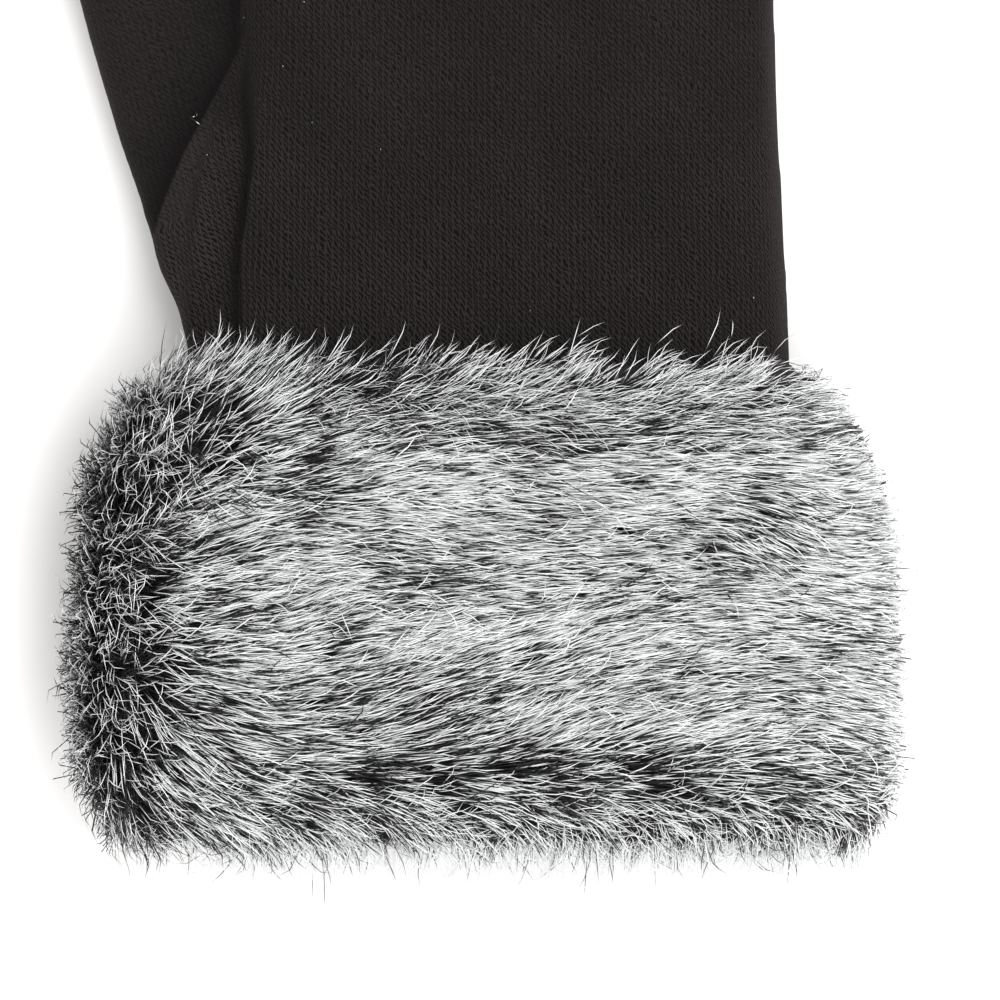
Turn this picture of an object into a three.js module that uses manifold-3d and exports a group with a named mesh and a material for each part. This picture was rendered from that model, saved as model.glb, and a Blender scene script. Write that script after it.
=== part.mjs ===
// Fur-trimmed glove for the right hand, lying palm down: a knitted hand of a back panel, a palm panel and a set-in
// thumb, with a band of deep fur round the wrist. Millimetres. +Z is up from the surface that the glove lies on, +Y
// runs from the wrist to the fingertips, and the thumb is on the -X side. While it is being built, y = 0 is where the
// fur ends on the back of the wrist. The last lines move the origin under the middle of the whole glove.
import * as THREE from 'three';
import { mergeVertices } from 'three/addons/utils/BufferGeometryUtils.js';
import Module from 'manifold-3d';

const wasm = await Module();
wasm.setup();

// Cloth and sewing
const KNIT_WALL = 1.6;
const SEWN_GAP = 0.3; // between two pieces that are sewn together
const OPEN_END = 6; // how far a hollow's cutter runs out past the end that it opens
const HAND_FLATNESS = 4.2; // superellipse power of a section
const FINGER_FLATNESS = 2.8;
const THUMB_FLATNESS = 3;
const FINGER_SIDES = 16;
const THUMB_SIDES = 16;

// The hand's tube, one row for each section from the hem to the knuckles. left and right are its outline. Left of
// the fold line the slack of the palm lies lower than the back by drop, and left of the crease lower again by dip.
// seamLeft and seamRight are the heights of the seam between the back and the palm. slant pulls the little finger's
// side back towards the wrist.
const HAND = [
  { y: -12, left: -48.9, right: 41.7, fold: -42, crease: -45, drop: 0.6, dip: 0, bottom: 3.8, top: 23.2,
    seamLeft: 18, seamRight: 14, slant: 0 },
  { y: -5, left: -48.8, right: 41.6, fold: -41.7, crease: -45, drop: 2.6, dip: 0.2, bottom: 3.8, top: 22,
    seamLeft: 18.6, seamRight: 13, slant: 0 },
  { y: 2, left: -49, right: 41.4, fold: -41.3, crease: -46, drop: 4.4, dip: 0.6, bottom: 3.6, top: 20.6,
    seamLeft: 18, seamRight: 12, slant: 0 },
  { y: 8, left: -50.6, right: 41.1, fold: -41.5, crease: -47.2, drop: 5, dip: 1, bottom: 3, top: 19.4,
    seamLeft: 16.7, seamRight: 11, slant: 0 },
  { y: 14, left: -53.6, right: 40.9, fold: -41.4, crease: -48.2, drop: 5.2, dip: 1.3, bottom: 2.2, top: 18.4,
    seamLeft: 15.7, seamRight: 10, slant: 0 },
  { y: 18, left: -54.7, right: 40.7, fold: -41, crease: -48, drop: 5.2, dip: 1.5, bottom: 1.6, top: 17.9,
    seamLeft: 15.2, seamRight: 9.5, slant: 0 },
  { y: 23, left: -53.1, right: 40.5, fold: -40.3, crease: -47.6, drop: 5, dip: 1.5, bottom: 1, top: 17.4,
    seamLeft: 14.8, seamRight: 9, slant: 0 },
  { y: 31, left: -49.8, right: 40.1, fold: -39.5, crease: -46.2, drop: 4.8, dip: 1, bottom: 0.2, top: 16.8,
    seamLeft: 14.3, seamRight: 8.4, slant: 0 },
  { y: 39, left: -45.4, right: 39.7, fold: -40.2, crease: -43, drop: 4.2, dip: 0.3, bottom: -0.3, top: 16.4,
    seamLeft: 14, seamRight: 7.8, slant: 0 },
  { y: 43, left: -43.3, right: 39.5, fold: -40, crease: -42.2, drop: 2.8, dip: 0, bottom: -0.3, top: 16.2,
    seamLeft: 13.4, seamRight: 7.6, slant: 0 },
  { y: 47, left: -41.2, right: 39.4, fold: -37.2, crease: -39.6, drop: 0, dip: 0, bottom: -0.3, top: 16,
    seamLeft: 11.6, seamRight: 7.3, slant: 0 },
  { y: 56, left: -41.1, right: 39.3, fold: -36.6, crease: -39.4, drop: 0, dip: 0, bottom: -0.3, top: 15.5,
    seamLeft: 8.4, seamRight: 6.9, slant: 0 },
  { y: 74, left: -41.4, right: 40, fold: -36.6, crease: -39.4, drop: 0, dip: 0, bottom: -0.3, top: 14.6,
    seamLeft: 6.4, seamRight: 6.4, slant: 2 },
  { y: 90, left: -41, right: 40.6, fold: -36.4, crease: -39.2, drop: 0, dip: 0, bottom: -0.3, top: 13.7,
    seamLeft: 6.4, seamRight: 6.4, slant: 6 },
  { y: 97.5, left: -40.4, right: 40.2, fold: -36, crease: -38.8, drop: 0, dip: 0, bottom: 0.4, top: 12.6,
    seamLeft: 6.4, seamRight: 6.4, slant: 7.5 },
  { y: 101, left: -39.4, right: 39.4, fold: -35, crease: -37.8, drop: 0, dip: 0, bottom: 3, top: 9.4,
    seamLeft: 6.4, seamRight: 6.4, slant: 8 },
];
const SLANT_FROM_X = 4;
const FOLD_ROUND = 1.3; // half the breadth of the back's rounded edge along the fold
const CREASE_ROUND = 0.8;

// The fingers. lean turns a finger from +Y towards the little finger's side, in degrees.
const FINGERS = [
  { rootX: -30.4, rootY: 84, lean: -3, length: 80, width: 20.4, height: 13.3 },
  { rootX: -10.2, rootY: 84, lean: -1, length: 90, width: 20.2, height: 13.4 },
  { rootX: 9.9, rootY: 82, lean: 1.4, length: 84, width: 19.8, height: 13.3 },
  { rootX: 29.5, rootY: 76, lean: 4, length: 70, width: 18.8, height: 13 },
];
const FINGER_MIDDLE = 6.4; // height of a finger's axis
// A finger narrows towards its tip: girth is its share of the full width at back millimetres from the tip.
const FINGER_TAPER = [
  { back: 15, girth: 0.95 },
  { back: 7, girth: 0.87 },
  { back: 2.6, girth: 0.69 },
  { back: 0, girth: 0.36 },
];

// The thumb sleeve, from its seam inside the palm's slack to its tip
const THUMB = [
  { y: 10, left: -50.5, right: -28, bottom: 3, top: 10.8 },
  { y: 18, left: -54.6, right: -30, bottom: 1.6, top: 10.2 },
  { y: 33, left: -59.8, right: -35, bottom: 0.1, top: 10 },
  { y: 41, left: -62.1, right: -38.6, bottom: -0.3, top: 10.2 },
  { y: 47, left: -63.9, right: -38.8, bottom: -0.3, top: 10.5 },
  { y: 56, left: -66.3, right: -40, bottom: -0.3, top: 10.9 },
  { y: 66, left: -69, right: -45.4, bottom: -0.3, top: 11.3 },
  { y: 78, left: -71.8, right: -50.8, bottom: -0.3, top: 11.3 },
  { y: 90, left: -74.6, right: -54.6, bottom: -0.2, top: 11 },
  { y: 98, left: -75.4, right: -57.2, bottom: 0.3, top: 10.2 },
  { y: 103, left: -74.4, right: -60.2, bottom: 1.4, top: 8.9 },
  { y: 105.6, left: -71.6, right: -63.6, bottom: 3, top: 7.2 },
];

// The fur cuff without its locks, from the fringe on the wrist to the mouth, and the hollow inside its backing
const CUFF = [
  { y: 1, left: -50.6, right: 43, bottom: 1.2, top: 23.4 },
  { y: -2, left: -54.4, right: 46, bottom: 0.3, top: 26.4 },
  { y: -8, left: -58.8, right: 49.8, bottom: 0.5, top: 29 },
  { y: -17, left: -62.4, right: 52.8, bottom: 0.7, top: 30.4 },
  { y: -30, left: -63.6, right: 53.6, bottom: 0.7, top: 31 },
  { y: -46, left: -64, right: 54, bottom: 0.7, top: 31 },
  { y: -58, left: -62.8, right: 53.6, bottom: 0.7, top: 30.2 },
  { y: -66, left: -60, right: 52.4, bottom: 0.7, top: 28.8 },
  { y: -71, left: -56.4, right: 49.6, bottom: 0.7, top: 27.2 },
  { y: -73.4, left: -53.6, right: 46.4, bottom: 1, top: 25.8 },
];
const CUFF_HOLLOW = [
  { y: -73.4, left: -50.4, right: 43.4, bottom: 3.5, top: 23.6 },
  { y: -60, left: -50.2, right: 43.2, bottom: 3.5, top: 24 },
  { y: -30, left: -49.8, right: 42.6, bottom: 3.5, top: 24 },
  { y: -12, left: -49.2, right: 42, bottom: 3.5, top: 23.5 },
  { y: -9, left: -45, right: 38, bottom: 7, top: 20 },
];
const CUFF_FLATNESS = 3.2;
const CUFF_SIDES = 28;

// The locks of fur. They follow the nap, which runs round the cuff: across the top towards +X, down, and back below.
const LOCK = { length: 22, width: 11.6, height: 3.3, sunk: 1.4, lift: 3 };
const LOCK_PITCH_ROUND = 18.4;
// A row of locks along y. comb is the slope of its locks along Y, up towards the hand or down towards the mouth.
const LOCK_ROWS = [
  { y: -5, comb: 0.32 },
  { y: -15.4, comb: 0.14 },
  { y: -26, comb: -0.06 },
  { y: -36.6, comb: 0.06 },
  { y: -47.2, comb: 0.18 },
  { y: -57.8, comb: 0.02 },
  { y: -67.4, comb: -0.24 },
];
const LOCK_STEPS = [
  { along: 0, width: 0.8, height: 0.6 },
  { along: 0.5, width: 1, height: 1 },
];
const LOCK_SCATTER = { round: 0.3, along: 2, length: 0.22, comb: 0.14 };

const KNIT_COLOUR = '#2b2625';
const THUMB_COLOUR = '#262221';
const FUR_COLOUR = '#8b8b8d';

// A cut or joined solid, from a closed geometry
function solidOf(geometry) {
  geometry.deleteAttribute('normal');
  geometry.deleteAttribute('uv');
  const merged = mergeVertices(geometry);
  const vertProperties = new Float32Array(merged.attributes.position.array);
  const triVerts = new Uint32Array(merged.index.array);
  return new wasm.Manifold(new wasm.Mesh({ numProp: 3, vertProperties, triVerts }));
}

// A closed geometry through rings of points, which all have as many points and run the same way round. Its far end
// closes on tip, or on the last ring's middle.
function loft(rings, tip = middleOf(rings.at(-1))) {
  const count = rings[0].length;
  const points = rings.flat();
  const last = rings.length - 1;
  const triangles = [];
  for (let ring = 0; ring < last; ring += 1) {
    for (let i = 0; i < count; i += 1) {
      const next = (i + 1) % count;
      const [a, b] = [ring * count + i, ring * count + next];
      triangles.push(a, b, b + count, a, b + count, a + count);
    }
  }
  const [startMiddle, endMiddle] = [points.length, points.length + 1];
  points.push(middleOf(rings[0]), tip);
  for (let i = 0; i < count; i += 1) {
    const next = (i + 1) % count;
    triangles.push(startMiddle, next, i, endMiddle, last * count + i, last * count + next);
  }
  const geometry = new THREE.BufferGeometry().setFromPoints(points);
  geometry.setIndex(volumeOf(points, triangles) > 0 ? triangles : triangles.reverse());
  return geometry;
}

function middleOf(points) {
  const sum = points.reduce((total, point) => total.add(point), new THREE.Vector3());
  return sum.divideScalar(points.length);
}

// Above zero where the triangles face out
function volumeOf(points, triangles) {
  let volume = 0;
  for (let i = 0; i < triangles.length; i += 3) {
    const [a, b, c] = triangles.slice(i, i + 3).map((index) => points[index]);
    volume += a.dot(new THREE.Vector3().crossVectors(b, c));
  }
  return volume;
}

function unite(solids) {
  return wasm.Manifold.union(solids);
}

// The largest body of a solid, without the crumbs that a cut can leave
function mainBody(solid) {
  return solid.decompose().reduce((best, body) => (body.volume() > best.volume() ? body : best));
}

const mix = (from, to, share) => from + (to - from) * share;

function smoothStep(value) {
  const share = Math.min(1, Math.max(0, (value + 1) / 2));
  return share * share * (3 - 2 * share);
}

// Half the height of a superellipse at x, as a share of its most
function swell(x, left, right, flatness) {
  const across = Math.min(1, Math.abs((2 * x - left - right) / (right - left)));
  return (1 - across ** flatness) ** (1 / flatness);
}

// A superellipse section across Y, clockwise seen from the mouth of the cuff and starting at its left end
function roundSection({ y, left, right, bottom, top }, inset, flatness, sides) {
  const middle = new THREE.Vector3((left + right) / 2, y, (bottom + top) / 2);
  const half = { width: (right - left) / 2 - inset, height: (top - bottom) / 2 - inset };
  return Array.from({ length: sides }, (_, i) => {
    const turn = Math.PI - (2 * Math.PI * i) / sides;
    const [c, s] = [Math.cos(turn), Math.sin(turn)];
    const x = half.width * Math.sign(c) * Math.abs(c) ** (2 / flatness);
    const z = half.height * Math.sign(s) * Math.abs(s) ** (2 / flatness);
    return new THREE.Vector3(x, 0, z).add(middle);
  });
}

// The hand's section at a row, drawn in by inset all round
function handSection(row, inset) {
  const left = row.left + inset;
  const right = row.right - inset;
  const fold = row.fold + inset;
  const crease = row.crease + inset;
  const [backStart, backSteps, sideSteps] = [fold + FOLD_ROUND, 7, 3];
  const across = [];
  for (let i = 0; i < backSteps; i += 1) {
    across.push(mix(right, backStart, 1 - Math.cos((Math.PI / 2) * (i / backSteps))));
  }
  across.push(backStart, fold + FOLD_ROUND / 3, fold - FOLD_ROUND / 3, fold - FOLD_ROUND);
  across.push(crease + CREASE_ROUND);
  for (let i = 0; i <= sideSteps; i += 1) {
    across.push(mix(crease - CREASE_ROUND, left, Math.sin((Math.PI / 2) * (i / sideSteps))));
  }
  const pointAt = (x, side) => {
    const step = row.drop * smoothStep((fold - x) / FOLD_ROUND);
    const dip = row.dip * smoothStep((crease - x) / CREASE_ROUND);
    const top = row.top - inset - step - dip;
    const bottom = row.bottom + inset;
    const rise = (side * (top - bottom) / 2) * swell(x, left, right, HAND_FLATNESS);
    const back = row.slant * Math.max(0, (x - SLANT_FROM_X) / (right - SLANT_FROM_X));
    return new THREE.Vector3(x, row.y - back, (top + bottom) / 2 + rise);
  };
  const upper = across.map((x) => pointAt(x, 1));
  const plain = (x, i) => i > 0 && i < across.length - 1 && (x >= backStart || x < fold - FOLD_ROUND);
  const lower = across.filter(plain).reverse().map((x) => pointAt(x, -1));
  return [...upper, ...lower];
}

// The hand's tube drawn in by inset. A hollow or a cutter, with openEnd, runs out past the hem.
function handTube(inset, openEnd) {
  const rows = HAND.map((row) => ({ ...row }));
  rows[0].y -= openEnd;
  rows.at(-1).y -= inset;
  return solidOf(loft(rows.map((row) => handSection(row, inset))));
}

function fingerTube(finger, inset) {
  const lean = THREE.MathUtils.degToRad(finger.lean);
  const along = new THREE.Vector3(Math.sin(lean), Math.cos(lean), 0);
  const root = new THREE.Vector3(finger.rootX, finger.rootY, FINGER_MIDDLE);
  const rows = [{ back: finger.length, girth: 1 }, ...FINGER_TAPER];
  const rings = rows.map(({ back, girth }) => {
    const reach = Math.min(finger.length - back, finger.length - inset);
    const [halfWidth, halfHeight] = [finger.width / 2 * girth, finger.height / 2 * girth];
    const row = { y: 0, left: -halfWidth, right: halfWidth, bottom: -halfHeight, top: halfHeight };
    const centre = root.clone().addScaledVector(along, reach);
    const turned = new THREE.Matrix4().makeRotationZ(-lean).setPosition(centre);
    return roundSection(row, inset, FINGER_FLATNESS, FINGER_SIDES).map((point) => point.applyMatrix4(turned));
  });
  return solidOf(loft(rings));
}

function thumbTube(inset) {
  const rows = THUMB.map((row) => ({ ...row }));
  rows.at(-1).y -= inset;
  return solidOf(loft(rows.map((row) => roundSection(row, inset, THUMB_FLATNESS, THUMB_SIDES))));
}

// Everything on one side of the seam between the back and the palm: below it for side -1, above it for side 1
function seamSide(side) {
  const reach = 200;
  const [leftX, rightX] = [HAND[0].left, HAND[0].right];
  const ends = [{ ...HAND[0], y: -reach }, ...HAND, { ...HAND.at(-1), y: reach }];
  const rings = ends.map(({ y, seamLeft, seamRight }) => {
    const slope = (seamRight - seamLeft) / (rightX - leftX);
    const heightAt = (x) => seamLeft + slope * (x - leftX) - side * SEWN_GAP / 2;
    const [nearX, farX] = [leftX - reach / 10, rightX + reach / 10];
    return [[nearX, heightAt(nearX)], [farX, heightAt(farX)], [farX, side * reach], [nearX, side * reach]]
      .map(([x, z]) => new THREE.Vector3(x, y, z));
  });
  return solidOf(loft(rings));
}

// All that lies below the surface that the glove rests on
function underground() {
  const [breadth, depth] = [600, 40];
  return solidOf(new THREE.BoxGeometry(breadth, breadth, depth).translate(0, 0, -depth / 2));
}

// A share between 0 and 1 that looks random and is the same each time
function scatter(...numbers) {
  const [first, second, third] = [...numbers, 0, 0];
  const value = Math.sin(first * 12.9898 + second * 78.233 + third * 37.719) * 43758.5453;
  return value - Math.floor(value);
}

// The cuff's row at any y, between the rows of its table
function cuffRowAt(y) {
  const within = THREE.MathUtils.clamp(y, CUFF.at(-1).y, CUFF[0].y);
  const after = Math.max(1, CUFF.findIndex((row) => row.y <= within));
  const [from, to] = [CUFF[after - 1], CUFF[after]];
  const share = (within - from.y) / (to.y - from.y);
  const row = { y };
  for (const size of ['left', 'right', 'bottom', 'top']) {
    row[size] = mix(from[size], to[size], share);
  }
  return row;
}

// The point of the cuff's surface that lies round by a share of the way round its section, and the way out there
function cuffSurface(y, round) {
  const section = roundSection(cuffRowAt(y), 0, CUFF_FLATNESS, CUFF_SIDES * 2);
  const lengths = section.map((point, i) => point.distanceTo(section[(i + 1) % section.length]));
  const total = lengths.reduce((sum, length) => sum + length, 0);
  let left = (round - Math.floor(round)) * total;
  let i = 0;
  while (left > lengths[i]) {
    left -= lengths[i];
    i += 1;
  }
  const [from, to] = [section[i], section[(i + 1) % section.length]];
  const along = to.clone().sub(from).normalize();
  const point = from.clone().addScaledVector(along, left);
  const out = new THREE.Vector3(-along.z, 0, along.x);
  return { point, out, along, total };
}

// One lock: it rises out of the cuff along the nap and tapers to a point
function lock(y, round, comb, length) {
  const { total } = cuffSurface(y, round);
  const placeAt = (along) => {
    const place = cuffSurface(y + comb * length * along, round + (length * along) / total);
    const lifted = mix(-LOCK.sunk, LOCK.lift, along);
    place.point.addScaledVector(place.out, lifted);
    return place;
  };
  const rings = LOCK_STEPS.map((step) => {
    const { point, out, along } = placeAt(step.along);
    const heading = along.clone().add(new THREE.Vector3(0, comb, 0)).normalize();
    const side = new THREE.Vector3().crossVectors(out, heading);
    const [halfWidth, halfHeight] = [LOCK.width / 2 * step.width, LOCK.height / 2 * step.height];
    return [[side, halfWidth], [out, halfHeight], [side, -halfWidth], [out, -halfHeight]]
      .map(([way, by]) => point.clone().addScaledVector(way, by));
  });
  return solidOf(loft(rings, placeAt(1).point));
}

function locks() {
  const made = [];
  LOCK_ROWS.forEach((row, rowNumber) => {
    const around = Math.round(cuffSurface(row.y, 0).total / LOCK_PITCH_ROUND);
    for (let i = 0; i < around; i += 1) {
      const stagger = rowNumber % 2 / 2 + LOCK_SCATTER.round * (scatter(i, rowNumber, 1) - 0.5);
      const y = row.y + LOCK_SCATTER.along * (scatter(i, rowNumber, 2) - 0.5);
      const comb = row.comb + LOCK_SCATTER.comb * (scatter(i, rowNumber, 3) - 0.5);
      const length = LOCK.length * (1 + LOCK_SCATTER.length * (scatter(i, rowNumber, 4) - 0.5));
      made.push(lock(y, (i + stagger) / around, comb, length));
    }
  });
  return made;
}

// The whole knitted shell of the hand and fingers, open at the hem and into the thumb
function handShell() {
  const outside = unite([handTube(0, 0), ...FINGERS.map((finger) => fingerTube(finger, 0))]);
  const hollows = [handTube(KNIT_WALL, OPEN_END), ...FINGERS.map((finger) => fingerTube(finger, KNIT_WALL))];
  return outside.subtract(unite([...hollows, thumbTube(KNIT_WALL), underground()]));
}

function thumbSleeve() {
  const cut = unite([thumbTube(KNIT_WALL), handTube(-SEWN_GAP, OPEN_END), underground()]);
  return thumbTube(0).subtract(cut);
}

function furCuff() {
  const band = loft(CUFF.map((row) => roundSection(row, 0, CUFF_FLATNESS, CUFF_SIDES)));
  const hollowRows = [{ ...CUFF_HOLLOW[0], y: CUFF_HOLLOW[0].y - OPEN_END }, ...CUFF_HOLLOW];
  const hollow = loft(hollowRows.map((row) => roundSection(row, 0, HAND_FLATNESS, CUFF_SIDES)));
  const cut = unite([solidOf(hollow), handTube(-SEWN_GAP, SEWN_GAP), underground()]);
  return unite([solidOf(band), ...locks()]).subtract(cut);
}

function piece(name, solid, colour, roughness) {
  const { numProp, vertProperties, triVerts } = mainBody(solid).getMesh();
  const geometry = new THREE.BufferGeometry();
  geometry.setAttribute('position', new THREE.BufferAttribute(vertProperties, numProp));
  geometry.setIndex(new THREE.BufferAttribute(triVerts, 1));
  geometry.computeVertexNormals();
  const mesh = new THREE.Mesh(geometry, new THREE.MeshStandardMaterial({ color: colour, roughness, metalness: 0 }));
  mesh.name = name;
  return mesh;
}

const shell = handShell();
const glove = new THREE.Group();
glove.add(piece('back_panel', shell.subtract(seamSide(-1)), KNIT_COLOUR, 0.95));
glove.add(piece('palm_panel', shell.subtract(seamSide(1)), KNIT_COLOUR, 0.95));
glove.add(piece('thumb', thumbSleeve(), THUMB_COLOUR, 0.95));
glove.add(piece('fur_cuff', furCuff(), FUR_COLOUR, 0.8));

const box = new THREE.Box3().setFromObject(glove);
const middle = box.getCenter(new THREE.Vector3());
glove.position.set(-middle.x, -middle.y, -box.min.z);

export default glove;
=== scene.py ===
"""A fur-trimmed glove for the right hand, palm down: black knit, a deep cuff of grey fur, and the stage."""
import math

import bmesh
import bpy
import numpy as np
from bpy.props import FloatProperty, FloatVectorProperty, IntProperty, PointerProperty
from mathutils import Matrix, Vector
from mathutils.bvhtree import BVHTree


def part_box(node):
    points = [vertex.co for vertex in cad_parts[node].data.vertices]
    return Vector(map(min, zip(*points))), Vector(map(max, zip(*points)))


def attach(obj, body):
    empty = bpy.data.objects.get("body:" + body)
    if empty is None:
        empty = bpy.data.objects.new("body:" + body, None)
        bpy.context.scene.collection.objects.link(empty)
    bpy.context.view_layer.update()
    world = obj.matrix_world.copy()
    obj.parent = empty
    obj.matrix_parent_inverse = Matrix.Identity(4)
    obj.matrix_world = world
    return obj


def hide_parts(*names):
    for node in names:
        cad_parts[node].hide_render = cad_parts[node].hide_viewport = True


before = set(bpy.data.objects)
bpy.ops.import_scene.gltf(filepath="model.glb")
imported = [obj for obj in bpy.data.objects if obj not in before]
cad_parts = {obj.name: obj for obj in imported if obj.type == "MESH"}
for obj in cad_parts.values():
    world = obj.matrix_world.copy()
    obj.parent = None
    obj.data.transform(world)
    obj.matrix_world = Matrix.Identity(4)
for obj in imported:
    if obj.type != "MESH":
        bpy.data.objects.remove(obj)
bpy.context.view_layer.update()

bl_info = {
    "name": "Fur-trimmed glove",
    "version": (1, 0, 0),
    "blender": (4, 5, 0),
    "location": "View3D > Sidebar > Glove",
    "description": "Makes the knit, the fur cuff and the stage of a fur-trimmed glove",
    "category": "Add Mesh",
}

MM = 0.001

# Sizes in this file are in millimetres from a zero point: the middle of the floor under the line where the
# fur ends on the back of the wrist. These two are where the solids' own edges lie from it.
PALM_LEFT = -54.7
HEM = -12.0
ZERO = Vector((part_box("palm_panel")[0].x - PALM_LEFT * MM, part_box("back_panel")[0].y - HEM * MM, 0))

# The fold along the thumb's side of the back, by y
FOLD_LINE = (
    # y, fold, crease, slack's edge, height of the back, drop to the slack
    (-12, -42.0, -45.0, -48.9, 23.2, 0.6),
    (2, -41.3, -46.0, -49.0, 20.6, 4.4),
    (14, -41.4, -48.2, -53.6, 18.4, 5.2),
    (18, -41.0, -48.0, -54.7, 17.9, 5.2),
    (23, -40.3, -47.6, -53.1, 17.4, 5.0),
    (31, -39.5, -46.2, -49.8, 16.8, 4.8),
    (39, -40.2, -43.0, -45.4, 16.4, 4.2),
    (43, -40.0, -42.2, -43.3, 16.2, 2.8),
    (47, -39.6, -40.4, -41.2, 16.0, 0.0),
    (56, -39.6, -40.4, -41.1, 15.5, 0.0),
)
# The ridge in the slack by the thumb, where the cloth turns down
RIDGE = (
    # y, x, strength
    (-4, -48.6, 0.0),
    (2, -48.7, 0.7),
    (8, -48.8, 1.0),
    (17, -48.3, 1.0),
    (26, -47.4, 0.8),
    (33, -46.2, 0.0),
)
RIDGE_HEIGHT = 0.9
RIDGE_REACH = 1.2
RIDGE_RIGHT = -42  # the ridge lies left of this, along x
SEAM_LAP = 0.25  # how far sewn edges reach over each other
WELD = 1e-6  # metres between corners of the solids that are one
FIRM_REACH = 3  # how far from the fold's lines the cloth keeps its edges
FIRM_FLOOR = 5  # how high the cloth does so
FIRM_SMOOTHING = 5  # rounds of smoothing over all the cloth, its folds too
LAST_SMOOTHING = 2
FOLD_ENDS = (2, 54)  # along y
FOLD_REACH = 2
FULL_DROP = 4  # a fold over this drop or more is rolled in full
# How far the cloth moves in under the fold and out over it, and between which shares of its height
FOLD_TUCK = (1.2, -0.3, 0.75)
FOLD_ROLL = (-1.3, 0.75, 1.2)
UNDERSIDE = 3  # cloth lower than this is the glove's underside
THUMB_CORNER = (-26, 8)  # the thumb lies left of and above this place

# Stray threads on the knit
LINT = (
    # x, y, length, heading and curl in degrees, rise, paleness
    (-49.0, 36.6, 1.0, 10, 60, 0.4, 0.5),
    (-48.8, 36.4, 1.8, -36, -15, 0.3, 0.6),
    (-48.2, 36.9, 1.0, -60, -260, 0.6, 0.5),
    (31.0, 1.2, 5.0, 78, 46, 0.4, 0.9),
    (-34.9, 43.5, 0.5, 60, 20, 0.1, 0.45),
    (-20.1, 30.9, 0.5, 80, 0, 0.1, 0.42),
    (-46.6, 30.7, 0.5, 20, 0, 0.1, 0.45),
    (-40.5, 51.0, 0.5, 120, 0, 0.1, 0.38),
    (-31.0, 53.0, 0.9, 150, 60, 0.1, 0.38),
    (-30.6, 35.3, 0.4, 10, 0, 0.1, 0.34),
    (35.5, 8.5, 0.8, 95, 40, 0.1, 0.45),
    (2.5, 7.0, 0.4, 150, 0, 0.1, 0.36),
)
LINT_WIDTH = 0.16
LINT_CLEARANCE = 0.12
LINT_POINTS = 7
ABOVE_ALL = 60  # a height over everything, to look down from

# The hand's outline by y, for the run of the knit
HAND_OUTLINE = (
    # y, left, right, top
    (-12, -48.9, 41.7, 23.2),
    (14, -50.6, 40.9, 18.4),
    (46, -42.2, 39.4, 16.0),
    (74, -41.4, 40.0, 14.6),
    (97, -40.4, 40.2, 12.7),
)
FINGER_AXES = (
    # root x, root y, lean in degrees, half width
    (-30.4, 84, -3.0, 10.2),
    (-10.2, 84, -1.0, 10.1),
    (9.9, 82, 1.4, 9.9),
    (29.5, 76, 4.0, 9.4),
)
COLUMN_WRAP = 5  # how late the columns turn down the hand's sides: a power
FINGER_WRAP = 4
FINGER_TOP = 13
FINGERS_BEGIN = (93, 101)  # along y
SLACK_LEAN, THUMB_LEAN = 15, 14  # degrees
SLACK_TOP, SLACK_END = 4, 50  # the slack lies over this height and below this y
SIDE_STRETCH = (10, 0.4)  # a height, and the cloth taken up for each millimetre from it
THUMB_LINE = (-40.5, -0.27)  # the thumb's middle: its x at y = 0, and its slope

# Parts of the cloth by their soft edges: an axis, the place where a part hasn't begun, and where it is full
CLOTH_PARTS = {
    "below_knuckle": ("y", 70, 56),
    "above_root": ("y", 8, 14),
    "off_floor": ("z", 2, 4),
    "off_wrist": ("y", -2, 3),
    "below_slit": ("y", 40, 32),
    "by_wrist": ("y", 18, 6),
}
EDGE_KEPT = (-30, 8)  # how far from the slack's edge its distance is kept
PALE_EDGE = (0.4, -0.8)  # from nothing to full, along x from a line
# Painted light: how much paler the slack and its outer flap are painted, where they catch the light
SLACK_PALENESS, OUTER_PALENESS = 0.7, 0.5
# Shade in the folds: how far left of its line it lies, its reach and its depth
CREASE_SHADE = (0.4, 0.75, 0.78)
VALLEY_SHADE = (0.5, 0.8, 0.3)
CREASE_DROP, CREASE_HEIGHT = 3, 2

# The hide under the fur, by y from the wrist to the mouth
SKIN = (
    # y, left, right, bottom, top, squareness
    (-0.8, -48.4, 41.3, 2.8, 21.2, 4.2),
    (-1.8, -49.2, 42.2, 2.2, 22.6, 4.0),
    (-4.0, -50.6, 44.0, 1.8, 24.4, 3.6),
    (-8.0, -52.2, 46.2, 1.5, 26.4, 3.3),
    (-14.0, -55.0, 49.2, 1.5, 27.6, 3.2),
    (-21.0, -57.5, 51.8, 1.5, 28.0, 3.2),
    (-34.0, -59.1, 53.2, 1.5, 28.2, 3.2),
    (-50.0, -59.8, 53.5, 1.5, 28.2, 3.2),
    (-60.0, -59.0, 53.5, 1.5, 27.6, 3.2),
    (-66.0, -57.5, 52.6, 1.5, 26.4, 3.3),
    (-69.5, -55.6, 50.6, 1.8, 25.2, 3.5),
    (-71.5, -53.4, 48.2, 2.6, 24.2, 3.8),
)
# How far up the hand the fringe reaches, along x
FRINGE = (
    (-64.0, -11.0), (-62.9, -7.0), (-59.8, -5.4), (-55.2, -2.6), (-51.2, -0.4), (-48.7, 3.2), (-45.7, 2.0),
    (-33.7, 1.2), (-22.5, 2.6), (-17.2, 0.9), (-11.2, 0.4), (-2.2, -0.4), (6.7, -0.1), (12.7, 0.5),
    (18.0, 1.1), (21.7, 0.3), (27.7, -0.7), (31.5, -1.4), (35.2, 0.0), (40.5, 1.2), (42.7, 0.3),
    (45.0, -2.4), (48.0, -5.1), (51.7, -8.0), (54.7, -12.5),
)
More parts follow.
